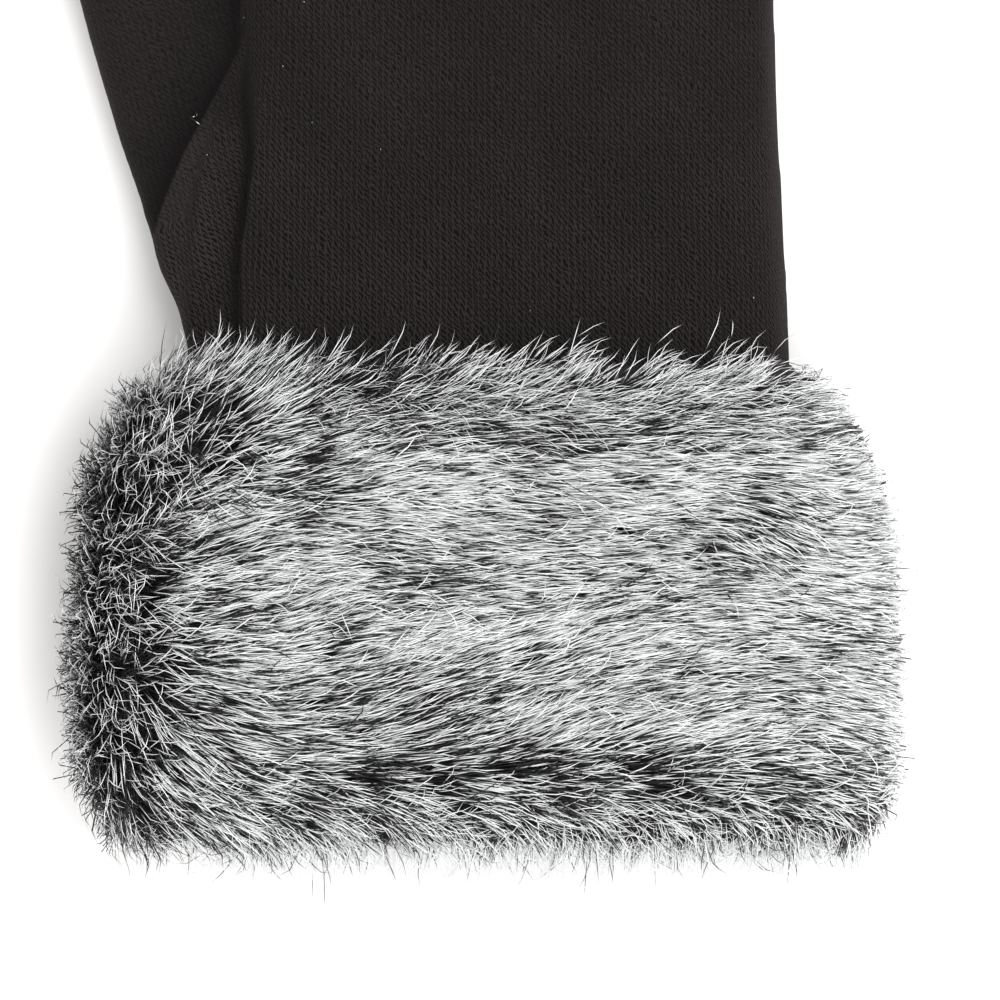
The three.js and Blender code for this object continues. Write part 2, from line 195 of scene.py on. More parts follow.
# How far down from the hand the hair at the mouth reaches, along x
MOUTH_FRINGE = (
    (-62.0, -69.0), (-56.0, -73.0), (-50.0, -75.2), (-44.0, -76.3), (-36.0, -76.2), (-24.0, -78.0),
    (-12.0, -77.6), (0.0, -77.8), (10.0, -78.2), (18.0, -78.4), (26.0, -76.8), (32.0, -74.5),
    (44.0, -74.2), (52.0, -75.0), (58.0, -72.0),
)
FUR_REACH = (-68.8, -4.4)  # the hairs' roots lie between these, along y
# Past these places along x the fur ends sooner, by this much for each millimetre
LEFT_CORNER, LEFT_FALL = -50, 0.9
RIGHT_CORNER, RIGHT_FALL = 47, 0.5
# The ground side of the hide, in the same columns
SKIN_LINING = (
    (-71.5, -50.2, 43.2, 3.4, 23.4, 4.2),
    (-60.0, -50.0, 43.1, 3.4, 23.8, 4.2),
    (-30.0, -49.7, 42.5, 3.4, 23.8, 4.2),
    (-12.0, -49.3, 42.1, 3.4, 23.6, 4.2),
    (-5.0, -49.0, 41.8, 3.4, 22.2, 4.2),
    (-0.8, -48.0, 40.9, 3.2, 20.8, 4.2),
)
BACKING_ROWS, LINING_ROWS, BACKING_STEPS = 26, 14, 96
GROUND_ROUND = 280  # how long the knitted ground is round the cuff

# Pieces of fur: where they meet along y, and as shares of the way round from the thumb's side over the top
WRIST_PIECE, MOUTH_PIECE, HAND_AND_MOUTH = -8, -63, -35
THUMB_SIDE_END, TOP_END, OUTER_END, THUMB_SIDE_START = 0.085, 0.41, 0.57, 0.93


def column(table, number):
    """One column of a table, from its lowest y up, as interpolation needs it."""
    rows = sorted(table)
    return [row[0] for row in rows], [row[number] for row in rows]


def at(table, number, y):
    return np.interp(y, *column(table, number))


def smooth_step(low, high, value):
    share = np.clip((value - low) / (high - low), 0, 1)
    return share * share * (3 - 2 * share)


def hump(x, y, centre_x, centre_y, reach_x, reach_y):
    """1 at the centre, falling away over its reach."""
    return np.exp(-(((x - centre_x) / reach_x) ** 2 + ((y - centre_y) / reach_y) ** 2))


class Drift:
    """Slow random change over a flat field, between -1 and 1."""

    def __init__(self, draw, size=64):
        self.size = size
        self.lattice = draw.uniform(-1, 1, (size, size))

    def __call__(self, x, y):
        column_at, row_at = np.floor(x).astype(int), np.floor(y).astype(int)
        across, up = smooth_step(0, 1, x - column_at), smooth_step(0, 1, y - row_at)
        corners = [
            [self.lattice[(row_at + j) % self.size, (column_at + i) % self.size] for i in (0, 1)]
            for j in (0, 1)
        ]
        low = corners[0][0] * (1 - across) + corners[0][1] * across
        high = corners[1][0] * (1 - across) + corners[1][1] * across
        return low * (1 - up) + high * up

    def total(self, x, y, rows):
        """The sum of several changes, each with its own strength, reach and shift."""
        return sum(
            strength * self(x / reach_x + shift_x, y / reach_y + shift_y)
            for strength, reach_x, reach_y, shift_x, shift_y in rows
        )


def soft_parts(table, x, y, z):
    """How far places belong to each part in a table of soft edges, from 0 to 1."""
    along = {"x": x, "y": y, "z": z}
    return {name: smooth_step(low, high, along[axis]) for name, (axis, low, high) in table.items()}


class Wire:
    """A socket that ordinary operators join to Math nodes."""

    def __init__(self, tree, socket=None):
        self.tree = tree
        self.socket = socket

    def node(self, kind, settings=None, inputs=None, output=0):
        """Adds a node, gives it its settings and then its sockets' values or links. Returns one output."""
        made = self.tree.nodes.new(kind)
        for name, value in (settings or {}).items():
            setattr(made, name, value)
        for name, value in (inputs or {}).items():
            if isinstance(value, Wire):
                self.tree.links.new(value.socket, made.inputs[name])
            else:
                made.inputs[name].default_value = value
        return Wire(self.tree, made.outputs[output])

    def math(self, operation, *values):
        return self.node("ShaderNodeMath", {"operation": operation}, dict(enumerate(values)))

    def __add__(self, other):
        return self.math("ADD", self, other)

    __radd__ = __add__

    def __sub__(self, other):
        return self.math("SUBTRACT", self, other)

    def __rsub__(self, other):
        return self.math("SUBTRACT", other, self)

    def __mul__(self, other):
        return self.math("MULTIPLY", self, other)

    __rmul__ = __mul__

    def __truediv__(self, other):
        return self.math("DIVIDE", self, other)

    def __pow__(self, other):
        return self.math("POWER", self, other)

    def parts(self, vector):
        """The three numbers of a vector."""
        first = self.node("ShaderNodeSeparateXYZ", None, {0: vector})
        return [Wire(self.tree, socket) for socket in first.socket.node.outputs]

    def attribute(self, name, output="Vector"):
        return self.node("ShaderNodeAttribute", {"attribute_name": name}, output=output)

    def noise(self, place, scale, detail, roughness):
        inputs = {"Vector": place, "Scale": scale, "Detail": detail, "Roughness": roughness}
        return self.node("ShaderNodeTexNoise", None, inputs)

    def bump(self, height, strength):
        """A surface raised by a height, over the depth of one thread."""
        inputs = {"Height": height, "Distance": THREAD_DEPTH, "Strength": strength}
        return self.node("ShaderNodeBump", None, inputs)

    def step(self, low, high):
        """0 below low and 1 above high, with a soft rise between them."""
        inputs = {"Value": self, "From Min": low, "From Max": high}
        return self.node("ShaderNodeMapRange", {"interpolation_type": "SMOOTHSTEP"}, inputs)

    def blend(self, first, second):
        """The first colour where this is 0, and the second where it is 1."""
        inputs = {0: self, 6: first, 7: second}
        return self.node("ShaderNodeMix", {"data_type": "RGBA"}, inputs, output=2)


def opaque(colour, brighter=1):
    return (*(value * brighter for value in colour), 1)


def new_material(name):
    """A material with nothing but its output, and a wire to start its nodes from."""
    material = bpy.data.materials.new(name)
    material.use_nodes = True
    material.node_tree.nodes.clear()
    return material, Wire(material.node_tree)


def finish_material(wire, inputs):
    shader = wire.node("ShaderNodeBsdfPrincipled", None, inputs)
    output = wire.tree.nodes.new("ShaderNodeOutputMaterial")
    wire.tree.links.new(shader.socket, output.inputs["Surface"])


THREAD_DEPTH = 0.3 * MM
# Noise: specks to a millimetre, detail, roughness
WANDER = (0.28, 5.0, 0.65)
UNEVEN = (0.9, 3.0, 0.7)
FUZZ = (1.3, 4.0, 0.7)
CLOUDS = (0.06, 2.0, 0.5)
MATTING = (1.4, 4.0, 0.5)
# How far the noise moves the columns and rows of stitches, as shares of one
COLUMN_WANDER, ROW_WANDER, ROW_UNEVEN = 1.4, 2.2, 0.5
STITCH_SLANT = 1.5  # rows that a stitch climbs over its column
COLUMN_LINE = (0.3, 0.46)  # the dark line between columns, from the middle of one
LINE_HEIGHT, STITCH_HEIGHT, STITCH_SHARPNESS = 0.64, 0.8, 1.4
# How open the stitches are: far up the hand, more by the wrist, and less on the thumb
OPEN_FAR, OPEN_NEAR, THUMB_MATTED = 0.62, 0.38, 0.35
OPEN_ALONG, OPEN_UNEVEN = (6, 46), (0.1, 0.6)
MATTED_HEIGHT, FUZZ_HEIGHT = 0.45, 0.6
SHOWN = (0.08, 0.82)  # the heights between which the pits give way to the yarn
# Random clouds of paler yarn, and the strength of the painted light on the slack and the thumb
CLOUD_EDGE, CLOUD_PALENESS, PAINTED_LIGHT_STRENGTH, PALE_YARN = (0.35, 0.75), 0.3, 0.9, 1.8
# The shade beside the slack's edge: its soft edge, its depth and how far it reaches
SLACK_EDGE, SLACK_SHADE, SLACK_SHADE_REACH = (-0.4, 0.3), 0.95, 7
THUMB_EDGE, THUMB_PALENESS, SHADED_PIT = (0.4, 0.6), 0.3, 0.8


def knit_material(name, knit):
    """Fine jersey that follows the cloth's own run: columns of slanted stitches with dark pits between."""
    material, wire = new_material(name)
    cloth = wire.attribute("cloth")
    across, along, thumb = wire.parts(cloth)
    flat = wire.node("ShaderNodeVectorMath", {"operation": "MULTIPLY"}, {0: cloth, 1: (1, 1, 0)})
    wander, uneven = wire.noise(flat, *WANDER), wire.noise(flat, *UNEVEN)
    on_thumb = thumb.step(*THUMB_EDGE)
    # Painted shade darkens the thumb beside the slack's edge; painted light makes the slack paler, and the
    # thumb a little paler all over
    edge, strength, pale = wire.parts(wire.attribute("painted_light"))
    past_edge = 1 - edge.step(*SLACK_EDGE)
    fading = edge.math("EXPONENT", edge.math("MINIMUM", edge, 0) / SLACK_SHADE_REACH)
    beside = past_edge * strength * fading * SLACK_SHADE
    # The painted shade of the creases, stored on the cloth
    fold = wire.attribute("fold", "Fac")
    shade = fold.math("MAXIMUM", fold, beside)
    painted_light = pale * (1 - past_edge) + on_thumb * past_edge * THUMB_PALENESS

    wale = across / knit.wale + wander * COLUMN_WANDER
    course = along / knit.course + wander * ROW_WANDER + uneven * ROW_UNEVEN
    place = wale.math("FRACT", wale)
    off_line = (place - 0.5).math("ABSOLUTE", place - 0.5)
    line = off_line.step(*COLUMN_LINE)
    rows = (course + place * STITCH_SLANT) * (2 * math.pi)
    stroke = (rows.math("COSINE", rows) * 0.5 + 0.5) ** STITCH_SHARPNESS
    relief = line.math("MAXIMUM", line * LINE_HEIGHT, stroke * STITCH_HEIGHT)
    open_here = OPEN_FAR + (1 - along.step(*OPEN_ALONG)) * OPEN_NEAR
    open_share = open_here * (1 - on_thumb * THUMB_MATTED) * uneven.step(*OPEN_UNEVEN)
    fuzz = (wire.noise(flat, *FUZZ) - 0.5) * FUZZ_HEIGHT
    grain = relief * open_share + (1 - open_share) * MATTED_HEIGHT + fuzz

    shown = grain.step(*SHOWN)
    colour = shown.blend(opaque(knit.pit_colour), opaque(knit.yarn_colour))
    cloud = wire.noise(flat, *CLOUDS).step(*CLOUD_EDGE)
    paler = cloud * shown * CLOUD_PALENESS + painted_light * shown * PAINTED_LIGHT_STRENGTH
    mottled = paler.blend(colour, opaque(knit.yarn_colour, PALE_YARN))
    finish_material(wire, {
        "Base Color": shade.blend(mottled, opaque(knit.pit_colour, SHADED_PIT)),
        "Roughness": 0.95,
        "Specular IOR Level": 0.12,
        "Sheen Weight": 0.06,
        "Sheen Roughness": 0.5,
        "Sheen Tint": opaque((0.5, 0.42, 0.4)),
        "Normal": wire.bump(grain, 0.8),
    })
    return material


# A hair's frosted end: where it starts on the darkest, how much lower on the palest, and how long it takes
FROST_START, FROST_LOWER, FROST_RISE = 0.72, 0.3, 0.18
FROST_TONES, BRIGHT_TONES = (0.2, 0.3), (0.25, 0.7)  # tones of the hairs with frost, and of the bright ones
PALE_ROOT = 2
ROOT_ROUGHNESS, FROST_SMOOTHER = 0.62, 0.2


def fur_material(name, fur):
    """Each hair by its place on its map: across, how frosted it is, and up, from its root to its tip."""
    material, wire = new_material(name)
    tone, along, _ = wire.parts(wire.node("ShaderNodeUVMap", {"uv_map": "OFBake"}))
    rise = (along - (FROST_START - tone * FROST_LOWER)).step(0, FROST_RISE)
    bright = tone.step(*BRIGHT_TONES).blend(opaque(fur.middle_colour), opaque(fur.tip_colour))
    dark = tone.step(0, 1).blend(opaque(fur.root_colour), opaque(fur.root_colour, PALE_ROOT))
    finish_material(wire, {
        "Base Color": (rise * tone.step(*FROST_TONES)).blend(dark, bright),
        "Roughness": ROOT_ROUGHNESS - rise * FROST_SMOOTHER,
        "Specular IOR Level": 0.35,
    })
    return material


GROUND_WALE, GROUND_COURSE = 1.1, 0.9
MATTED_EDGE, MATTED_PALER, GROUND_PALER = (0.3, 0.7), 2.4, 1.6


def hide_material(name, fur, knit):
    """The hide under the fur, dark and matted outside, and its plain knitted ground inside the cuff."""
    material, wire = new_material(name)
    cloth = wire.attribute("cloth")
    across, along, inside = wire.parts(cloth)
    wale = across * (2 * math.pi / GROUND_WALE)
    course = along * (2 * math.pi / GROUND_COURSE)
    ground = wale.math("SINE", wale) * course.math("SINE", course) * 0.5 + 0.5
    matted = wire.noise(cloth, *MATTING)
    outer = matted.step(*MATTED_EDGE).blend(opaque(fur.root_colour), opaque(fur.root_colour, MATTED_PALER))
    inner = ground.blend(opaque(knit.pit_colour), opaque(knit.yarn_colour, GROUND_PALER))
    finish_material(wire, {
        "Base Color": inside.blend(outer, inner),
        "Roughness": 0.95,
        "Specular IOR Level": 0.2,
        "Normal": wire.bump(matted * (1 - inside) + ground * inside, 0.7),
    })
    return material


def applied(piece):
    """The piece's mesh with its modifiers worked in."""
    graph = bpy.context.evaluated_depsgraph_get()
    mesh = bpy.data.meshes.new_from_object(piece.evaluated_get(graph))
    piece.modifiers.clear()
    piece.data = mesh
    return mesh


def show(name, mesh, material, replaced=()):
    """Puts a finished mesh on show as a piece of the glove."""
    mesh.name = name
    piece = bpy.data.objects.new(name, mesh)
    bpy.context.scene.collection.objects.link(piece)
    dress(piece, material, replaced)
    return piece


def dress(piece, material, replaced=()):
    piece.data.materials.clear()
    piece.data.materials.append(material)
    piece.data.polygons.foreach_set("use_smooth", [True] * len(piece.data.polygons))
    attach(piece, "root")
    if replaced:
        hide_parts(*replaced)


def places(mesh):
    """The mesh's points in millimetres from the zero point."""
    found = np.empty(len(mesh.vertices) * 3)
    mesh.vertices.foreach_get("co", found)
    return (found.reshape(-1, 3) - np.array(ZERO)) / MM


def near_fold(x, y, z):
    """Where the back is folded over the palm's slack, and the slack over the thumb, and edges are kept."""
    fold, crease, slack = (at(FOLD_LINE, number, y) for number in (1, 2, 3))
    folded = (x < fold + FIRM_REACH) & (x > crease - FIRM_REACH)
    edge = abs(x - slack) < FIRM_REACH
    return (folded | edge) & (y < FOLD_LINE[-1][0]) & (z > FIRM_FLOOR)


def smoothed(shape, verts, turns):
    axes = {"use_axis_x": True, "use_axis_y": True, "use_axis_z": True}
    for _ in range(turns):
        bmesh.ops.smooth_vert(shape, verts=verts, factor=0.5, **axes)


def roll_fold(shape):
    """Rolls the back's edge over the slack beside it, so that the fold casts a shadow into its crease."""
    for vert in shape.verts:
        x, y, z = (vert.co - ZERO) / MM
        if not FOLD_ENDS[0] < y < FOLD_ENDS[1]:
            continue
        fold, top, drop = (at(FOLD_LINE, number, y) for number in (1, 4, 5))
        height = (z - (top - drop)) / max(drop, 1)
        near = math.exp(-(((x - fold) / FOLD_REACH) ** 2))
        share = min(1, drop / FULL_DROP)
        for move, low, high in (FOLD_TUCK, FOLD_ROLL):
            if low < height < high:
                vert.co.x += move * MM * near * share * math.sin(math.pi * (height - low) / (high - low))


def raise_ridge(shape):
    """Lifts the slack by the thumb a little along the line where it turns down."""
    for vert in shape.verts:
        x, y, z = (vert.co - ZERO) / MM
        if x < RIDGE_RIGHT and z > UNDERSIDE:
            line, strength = at(RIDGE, 1, y), at(RIDGE, 2, y)
            vert.co.z += RIDGE_HEIGHT * MM * strength * math.exp(-(((x - line) / RIDGE_REACH) ** 2))


def sewn_hand(name, nodes, knit):
    """The back, the palm and the thumb as one fine, even, rounded cloth, sewn edge to edge."""
    shape = bmesh.new()
    for node in nodes:
        shape.from_mesh(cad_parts[node].data)
    bmesh.ops.remove_doubles(shape, verts=shape.verts, dist=WELD)
    shape.normal_update()
    for vert in shape.verts:
        vert.co += vert.normal * SEAM_LAP * MM
    mesh = bpy.data.meshes.new(name)
    shape.to_mesh(mesh)
    shape.free()
    piece = bpy.data.objects.new(name, mesh)
    bpy.context.scene.collection.objects.link(piece)
    remesh = piece.modifiers.new("even", "REMESH")
    remesh.mode = "VOXEL"
    remesh.voxel_size = knit.grain
    mesh = applied(piece)
    shape = bmesh.new()
    shape.from_mesh(mesh)
    firm = near_fold(*places(mesh).T)
    soft = [vert for vert, held in zip(shape.verts, firm) if not held]
    smoothed(shape, list(shape.verts), FIRM_SMOOTHING)
    smoothed(shape, soft, knit.smoothing)
    roll_fold(shape)
    raise_ridge(shape)
    smoothed(shape, list(shape.verts), LAST_SMOOTHING)
    for vert in shape.verts:
        vert.co.z = max(vert.co.z, 0)
    shape.to_mesh(mesh)
    shape.free()
    thin = piece.modifiers.new("thin", "DECIMATE")
    thin.ratio = knit.kept
    applied(piece)
    return piece


def thumb_points(mesh):
    """Which of the mesh's points belong to the thumb: those nearer to its solid than to the hand's."""
    trees = {}
    for node in ("thumb", "palm_panel", "back_panel"):
        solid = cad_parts[node].data
        corners = [vert.co for vert in solid.vertices]
        trees[node] = BVHTree.FromPolygons(corners, [face.vertices for face in solid.polygons])
    right, low = (ZERO[axis] + THUMB_CORNER[axis] * MM for axis in (0, 1))
    found = np.zeros(len(mesh.vertices), bool)
    for number, vert in enumerate(mesh.vertices):
        if vert.co.x < right and vert.co.y > low:
            thumb, palm, back = (trees[node].find_nearest(vert.co)[3] for node in trees)
            found[number] = thumb < min(palm, back)
    return found


def lay_cloth(mesh):
    """Stores where each point lies across the columns of stitches and along them, whether it is on the
    thumb, and the painted light and painted shade on the pile there."""
    x, y, z = places(mesh).T
    part = soft_parts(CLOTH_PARTS, x, y, z)
    on_thumb = thumb_points(mesh)
    hand, thumb = hand_spread(x, y, z), thumb_spread(x, y, z)
    across, along = (np.where(on_thumb, second, first) for first, second in zip(hand, thumb))
    edge = np.clip(x - at(FOLD_LINE, 3, y), *EDGE_KEPT)
    strength = part["below_knuckle"] * part["above_root"] * part["off_floor"]
    store(mesh, "cloth", across, along, on_thumb)
    # The slack's edge and how strong the painted shade beside it is, and the painted light on the slack
    store(mesh, "painted_light", edge, strength, painted_slack_light(x, y, z, part))
    # Painted shade in the crease under the fold and in the valley by the ridge
    fold = mesh.attributes.new("fold", "FLOAT", "POINT")
    fold.data.foreach_set("value", shadiness(x, y, z).astype(np.float32))


def store(mesh, name, *values):
    """Keeps three numbers at each of the mesh's points."""
    flat = np.stack(values, 1).astype(np.float32).ravel()
    mesh.attributes.new(name, "FLOAT_VECTOR", "POINT").data.foreach_set("vector", flat)


def shade_line(off, shade):
    """Shade beside a line, by how far off it a place is."""
    shift, reach, _ = shade
    return np.exp(-(((off + shift) / reach) ** 2))


def shadiness(x, y, z):
    """How much painted shade a place gets in the folds by the thumb: the crease under the fold and the
    valley by the ridge.
    """
    fold, top, drop = (at(FOLD_LINE, number, y) for number in (1, 4, 5))
    line, strength = at(RIDGE, 1, y), at(RIDGE, 2, y)
    in_crease = np.clip(drop / CREASE_DROP, 0, 1) * (z < top - drop + CREASE_HEIGHT)
    crease = shade_line(x - fold, CREASE_SHADE) * in_crease
    valley = shade_line(x - line, VALLEY_SHADE) * strength * (z > UNDERSIDE)
    return np.maximum(CREASE_SHADE[2] * crease, VALLEY_SHADE[2] * valley)


def painted_slack_light(x, y, z, part):
    """Painted light: how much paler the pile is painted on the slack by the thumb, more on its outer flap,
    where it catches the light.
    """
    beside_fold = smooth_step(*PALE_EDGE, x - at(FOLD_LINE, 1, y))
    slack = beside_fold * part["off_wrist"] * part["below_slit"] * (z > FIRM_FLOOR)
    outer = smooth_step(*PALE_EDGE, x - at(RIDGE, 1, y)) * part["by_wrist"]
    return (SLACK_PALENESS + OUTER_PALENESS * outer) * slack


def leaning(x, y, degrees):
    turn = math.radians(degrees)
    return x * math.cos(turn) + y * math.sin(turn), y * math.cos(turn) - x * math.sin(turn)


def turned_down(share, power, height):
    """The cloth taken up on a rounded side, at a share of the way out to it and so far below the top."""
    return np.sign(share) * np.abs(share) ** power * height


def hand_spread(x, y, z):
    """Columns run up the hand, round its sides and up each finger, and lean over on the thumb's slack."""
    left, right, top = (at(HAND_OUTLINE, number, y) for number in (1, 2, 3))
    wrap = turned_down((2 * x - left - right) / (right - left), COLUMN_WRAP, top - z)
    on_finger = smooth_step(*FINGERS_BEGIN, y)
    nearest = np.full(x.shape, np.inf)
    finger_wrap = np.zeros(x.shape)
    for root_x, root_y, lean, half_width in FINGER_AXES:
        aside = x - root_x - (y - root_y) * math.tan(math.radians(lean))
        share = np.clip(aside / half_width, -1, 1)
        closer = np.abs(aside) < nearest
        finger_wrap = np.where(closer, turned_down(share, FINGER_WRAP, FINGER_TOP - z), finger_wrap)
        nearest = np.where(closer, np.abs(aside), nearest)
    across = x + wrap * (1 - on_finger) + finger_wrap * on_finger
    slack = (x < at(FOLD_LINE, 1, y) - PALE_EDGE[0]) & (y < SLACK_END) & (z > SLACK_TOP)
    leaned_x, leaned_y = leaning(x, y, SLACK_LEAN)
    height, taken_up = SIDE_STRETCH
    return np.where(slack, leaned_x + (z - height) * taken_up, across), np.where(slack, leaned_y, y)


def thumb_spread(x, y, z):
    """Columns run up the thumb and round its sides."""
    across, along = leaning(x, y, THUMB_LEAN)
    middle, _ = leaning(THUMB_LINE[0] + THUMB_LINE[1] * y, y, THUMB_LEAN)
    height, taken_up = SIDE_STRETCH
    return across - np.sign(across - middle) * (z - height) * taken_up, along


class Hide:
    """The hide as a net: rows along Y, and even steps round each from the thumb's side over the top."""

    rows, steps, corners = 150, 512, 1441

    def __init__(self, table):
        self.high, self.low = table[0][0], table[-1][0]
        y = np.linspace(self.high, self.low, self.rows)
        left, right, bottom, top, square = (at(table, number, y)[:, None] for number in range(1, 6))
        turn = math.pi - np.linspace(0, 2 * math.pi, self.corners)[None, :]
        c, s = np.cos(turn), np.sin(turn)
        x = (left + right) / 2 + (right - left) / 2 * np.sign(c) * np.abs(c) ** (2 / square)
        z = (bottom + top) / 2 + (top - bottom) / 2 * np.sign(s) * np.abs(s) ** (2 / square)
        run = np.concatenate([np.zeros((self.rows, 1)), np.cumsum(np.hypot(np.diff(x), np.diff(z)), 1)], 1)
        self.round = run[:, -1]
        share = np.linspace(0, 1, self.steps + 1)
        self.net = np.empty((self.rows, self.steps + 1, 3))
        for row in range(self.rows):
            self.net[row, :, 0] = np.interp(share * self.round[row], run[row], x[row])
            self.net[row, :, 2] = np.interp(share * self.round[row], run[row], z[row])
        self.net[:, :, 1] = y[:, None]
        ring = self.net[:, :-1]
        round_way = np.roll(ring, -1, 1) - np.roll(ring, 1, 1)
        up_way = -np.gradient(ring, axis=0)
        out = np.cross(round_way, up_way)
        out /= np.linalg.norm(out, axis=2, keepdims=True)
        self.out = np.concatenate([out, out[:, :1]], 1)

    def length_round(self, y):
        return np.interp(-y, -np.linspace(self.high, self.low, self.rows), self.round)

    def sample(self, y, share):
        """Points on the hide, and the way out there. Past either end the hide runs straight on."""
        row = np.clip((self.high - y) / (self.high - self.low), 0, 1) * (self.rows - 1)
        step = (share % 1) * self.steps
        low_row = np.minimum(row.astype(int), self.rows - 2)
        low_step = np.minimum(step.astype(int), self.steps - 1)
        up, along = (row - low_row)[..., None], (step - low_step)[..., None]

        def mixed(net):
            first = net[low_row, low_step] * (1 - along) + net[low_row, low_step + 1] * along
            second = net[low_row + 1, low_step] * (1 - along) + net[low_row + 1, low_step + 1] * along
            return first * (1 - up) + second * up

        point, out = mixed(self.net), mixed(self.out)
        point[..., 1] += y - np.clip(y, self.low, self.high)
        return point, out / np.linalg.norm(out, axis=-1, keepdims=True)


# Shares of a hair's length at which a straight hair and a curled one have their points
COMBED = (0.0, 0.78, 1.0)
CURLED = (0.0, 0.4, 0.82, 1.0)
ROOT_THICKNESS = 0.75  # of a hair's full thickness
FLOOR_GAP = 0.06  # the least height of a hair
# A hair's place on its map: the start and the spread by tone and along it, and its own breadth there
MAP_ACROSS, MAP_ALONG, MAP_BREADTH = (0.015, 0.965), (0.01, 0.98), 0.01


def strand_form(levels):
    """One hair of unit thickness: a closed three-sided spike. Returns its points and its faces."""
    shape = bmesh.new()
    ring = bmesh.ops.create_circle(shape, cap_ends=True, segments=3, radius=0.5)["verts"]
    for number in range(1, len(levels)):
        face = next(face for face in shape.faces if all(vert in ring for vert in face.verts))
        grown = bmesh.ops.extrude_face_region(shape, geom=[face])["geom"]
        if number > 1:
            bmesh.ops.delete(shape, geom=[face], context="FACES_ONLY")
        ring = [item for item in grown if isinstance(item, bmesh.types.BMVert)]
        bmesh.ops.translate(shape, verts=ring, vec=(0, 0, 1))
    bmesh.ops.pointmerge(shape, verts=ring, merge_co=(0, 0, len(levels) - 1))
    bmesh.ops.recalc_face_normals(shape, faces=shape.faces)
    bmesh.ops.triangulate(shape, faces=shape.faces)
    shape.verts.index_update()
    points = np.array([vert.co for vert in shape.verts])
    faces = np.array([[vert.index for vert in face.verts] for face in shape.faces])
    shape.free()
    return points, faces


def joined_strands(name, levels, path, side, out, width, tone):
    """One mesh of many hairs. path has a point for each hair and level, in millimetres."""
    form, faces = strand_form(levels)
    level = form[:, 2].round().astype(int)
    last = len(levels) - 1
    taper = np.where(level == last, 0, np.where(level == 0, ROOT_THICKNESS, 1))
    aside = side[:, None] * form[None, :, 0:1] + out[:, None] * form[None, :, 1:2]
    points = path[:, level] + aside * (taper * width[:, None])[..., None]
    points[..., 2] = np.maximum(points[..., 2], FLOOR_GAP)
    points = points.reshape(-1, 3) * MM + np.array(ZERO)
    count = len(path)
    corners = (faces[None] + (np.arange(count) * len(form))[:, None, None]).reshape(-1)
    mesh = bpy.data.meshes.new(name)
    mesh.vertices.add(len(points))
    mesh.vertices.foreach_set("co", points.astype(np.float32).ravel())
    mesh.loops.add(len(corners))
    mesh.loops.foreach_set("vertex_index", corners.astype(np.int32))
    mesh.polygons.add(len(corners) // 3)
    mesh.polygons.foreach_set("loop_start", np.arange(0, len(corners), 3, dtype=np.int32))
    mesh.update(calc_edges=True)
    across = MAP_ACROSS[0] + MAP_ACROSS[1] * tone[:, None] + MAP_BREADTH * form[None, :, 0]
    along = np.broadcast_to(MAP_ALONG[0] + MAP_ALONG[1] * np.array(levels)[level], across.shape)
    places_on_map = np.stack([across, along], 2).reshape(-1, 2)[corners]
    mesh.uv_layers.new(name="OFBake").data.foreach_set("uv", places_on_map.astype(np.float32).ravel())
    return mesh


# Where the nap swings out of its straight run round the cuff
FLOW = (
    # x, y, reach in x, reach in y, degrees towards the hand
    (-52, -29, 8, 8, 22),
    (-55, -57, 7, 9, -42),
    (-38, -40, 12, 6, 16),
    (-24, -49, 12, 6, 20),
    (-30, -16, 18, 5, 12),
    (2, -44, 18, 9, 17),
    (-2, -57, 30, 5, 22),
    (-12, -22, 16, 6, -8),
    (30, -24, 7, 5, -34),
    (46, -50, 12, 10, -14),
)
# Where the fur parts and more of the dark hair shows; the dark hairs are partly painted shade in its
# hollows
SHADOWS = (
    # x, y, reach in x, reach in y, share of dark hairs
    (0, -62, 56, 3.2, 0.4),
    (-16, -60.5, 10, 3.0, 0.2),
    (-24, -51, 20, 4, 0.34),
    (-50, -60, 14, 7, 0.16),
    (-50, -39, 6, 4, 0.14),
    (-52, -49, 5, 3, 0.2),
    (-39, -65, 7, 4, 0.24),
    (-1, -69, 5, 3, -0.25),
    (11, -62, 5, 3, 0.3),
    (-33, -44, 5, 3, 0.4),
    (-20, -43.5, 7, 3, -0.3),
    (-22, -32, 10, 4, 0.32),
    (-42, -17, 5, 7, 0.4),
    (-56, -29, 4, 3, 0.2),
    (-60, -50, 3, 9, -0.2),
    (-27, -10, 9, 3, 0.2),
    (0, -11.5, 34, 2.4, 0.48),
    (12, -5.5, 30, 2.2, -0.14),
    (-50, -11, 8, 4, -0.4),
    (-58, -16, 4, 4, 0.2),
    (9, -12, 9, 3, 0.16),
    (34, -4, 7, 5, -0.32),
    (27, -21, 4, 2.6, 0.36),
    (31, -25, 5, 2.6, 0.36),
    (46, -68, 5, 3, 0.16),
    (-2, -44, 14, 5, -0.14),
    (8, -21, 11, 4, -0.16),
    (43, -21, 9, 6, -0.14),
    (38, -32, 8, 4, -0.2),
    (-26, -31, 4, 4, 0.14),
    (-13, -31, 5, 4, -0.16),
    (10, -58, 10, 3, -0.14),
    (8, -62.5, 5, 2.5, -0.3),
    (52, -62, 5, 4, -0.15),
)
# Parts of the cuff by their soft edges: an axis, the place where a part hasn't begun, and where it is full
CUFF_PARTS = {
    "top": ("z", 12, 22),
    "off_floor": ("z", 4, 12),
    "outward": ("z", 20, 10),
    "under": ("z", 8, 3),
    "sparse_under": ("z", 9, 3),
    "left_end": ("x", -28, -46),
    "past_corner": ("x", -46, -25),
    "left_half": ("x", 0, -30),
    "left_side": ("x", 10, -30),
    "right_half": ("x", -20, 20),
    "right_end": ("x", 43, 52),
    "by_mouth": ("y", -60, -65),
    "mouth": ("y", -62, -68),
    "mouth_edge": ("y", -64, -67),
    "mouth_rim": ("y", -64, -68),
    "hand_side": ("y", -26, -17),
    "wrist_edge": ("y", -12, -8),
    "wrist_strays": ("y", -12, -7),
    "wrist_corner": ("y", -11, -7),
    "wrist": ("y", -10, -6),
}
